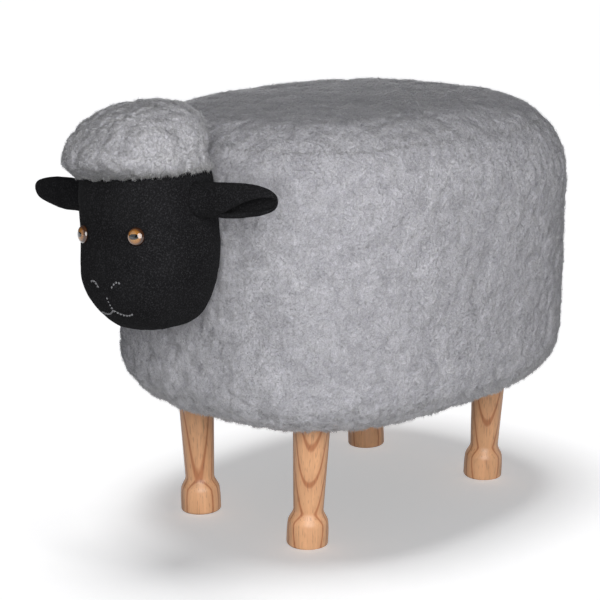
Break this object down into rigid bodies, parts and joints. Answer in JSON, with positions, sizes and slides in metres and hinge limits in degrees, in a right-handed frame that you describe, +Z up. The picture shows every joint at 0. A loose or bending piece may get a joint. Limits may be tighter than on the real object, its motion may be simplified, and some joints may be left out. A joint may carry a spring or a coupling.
{
  "type": "sheep footstool",
  "caption": "Low padded footstool shaped as a woolly sheep: a fleece drum seat on turned wooden legs, with a stuffed head, ears and a woolly cap.",
  "frame": {"origin": "on the floor, under the middle of the whole stool's box", "axes": "+Z up; the sheep looks along -Y; +Y runs back along the body, the longest way; +X is the sheep's left"},
  "size_m": [0.3434, 0.5198, 0.4011],
  "materials": {
    "fleece": "matte",
    "black_felt": "matte",
    "foam": "matte",
    "filling": "matte",
    "dust_cloth": "matte",
    "fibreboard": "matte",
    "plywood": "matte",
    "pine": "matte",
    "rubberwood": "satin",
    "zinc_steel": "satin",
    "eye_plastic": "gloss",
    "washer_plastic": "matte"
  },
  "bodies": {
    "root": {"fleece_side": "fleece", "fleece_top": "fleece", "wool_cap": "fleece", "side_foam": "foam", "seat_foam": "foam", "side_wrap": "fibreboard", "base_board": "plywood", "seat_board": "plywood", "front_panel": "plywood", "post_front_left": "pine", "post_front_right": "pine", "post_hind_left": "pine", "post_hind_right": "pine", "base_screw_front_left": "zinc_steel", "base_screw_front_right": "zinc_steel", "base_screw_hind_left": "zinc_steel", "base_screw_hind_right": "zinc_steel", "seat_screw_front_left": "zinc_steel", "seat_screw_front_right": "zinc_steel", "seat_screw_hind_left": "zinc_steel", "seat_screw_hind_right": "zinc_steel", "panel_base_screw_left": "zinc_steel", "panel_base_screw_right": "zinc_steel", "panel_seat_screw_left": "zinc_steel", "panel_seat_screw_right": "zinc_steel", "dust_cover": "dust_cloth", "leg_front_left": "rubberwood", "leg_front_right": "rubberwood", "leg_hind_left": "rubberwood", "leg_hind_right": "rubberwood", "hanger_bolt_front_left": "zinc_steel", "hanger_bolt_front_right": "zinc_steel", "hanger_bolt_hind_left": "zinc_steel", "hanger_bolt_hind_right": "zinc_steel", "tee_nut_front_left": "zinc_steel", "tee_nut_front_right": "zinc_steel", "tee_nut_hind_left": "zinc_steel", "tee_nut_hind_right": "zinc_steel", "head_cover": "black_felt", "head_filling": "filling", "head_board": "plywood", "head_bolt_upper": "zinc_steel", "head_bolt_lower": "zinc_steel", "head_nut_upper": "zinc_steel", "head_nut_lower": "zinc_steel", "ear_left": "black_felt", "ear_right": "black_felt", "eye_left": "eye_plastic", "eye_right": "eye_plastic", "eye_washer_left": "washer_plastic", "eye_washer_right": "washer_plastic"}
  },
  "joints": []
}
